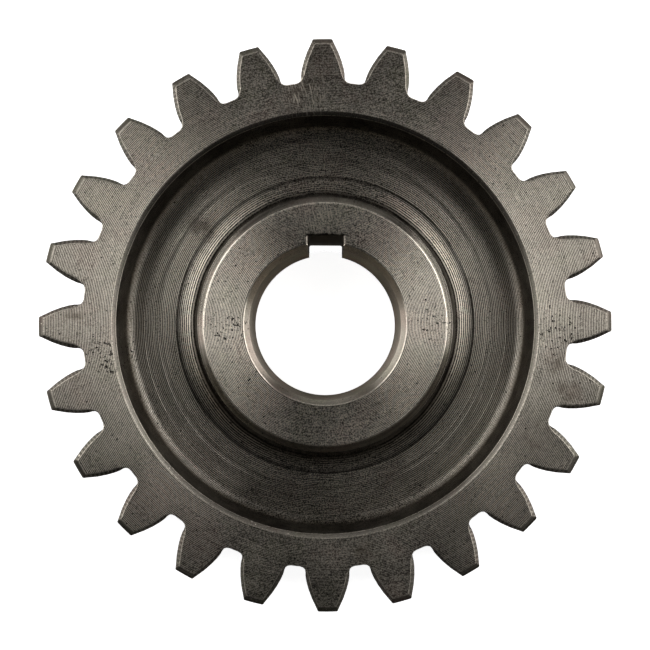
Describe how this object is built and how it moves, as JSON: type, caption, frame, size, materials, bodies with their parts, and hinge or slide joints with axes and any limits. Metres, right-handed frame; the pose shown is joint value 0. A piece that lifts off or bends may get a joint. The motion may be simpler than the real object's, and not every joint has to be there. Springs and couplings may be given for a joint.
{
  "type": "gear wheel",
  "caption": "Spur gear wheel with involute teeth, a dished web between rim and raised hub, and a chamfered bore with a keyway.",
  "frame": {"origin": "on the bore's axis, in the plane of the back face that it rests on", "axes": "+Z along the bore, out of the front face; +Y from the axis to the middle of the keyway"},
  "size_m": [0.131, 0.131, 0.024],
  "materials": {
    "steel": "turned and oiled, with worn edges and light stains"
  },
  "bodies": {
    "root": {"gear_wheel": "steel"}
  },
  "joints": []
}
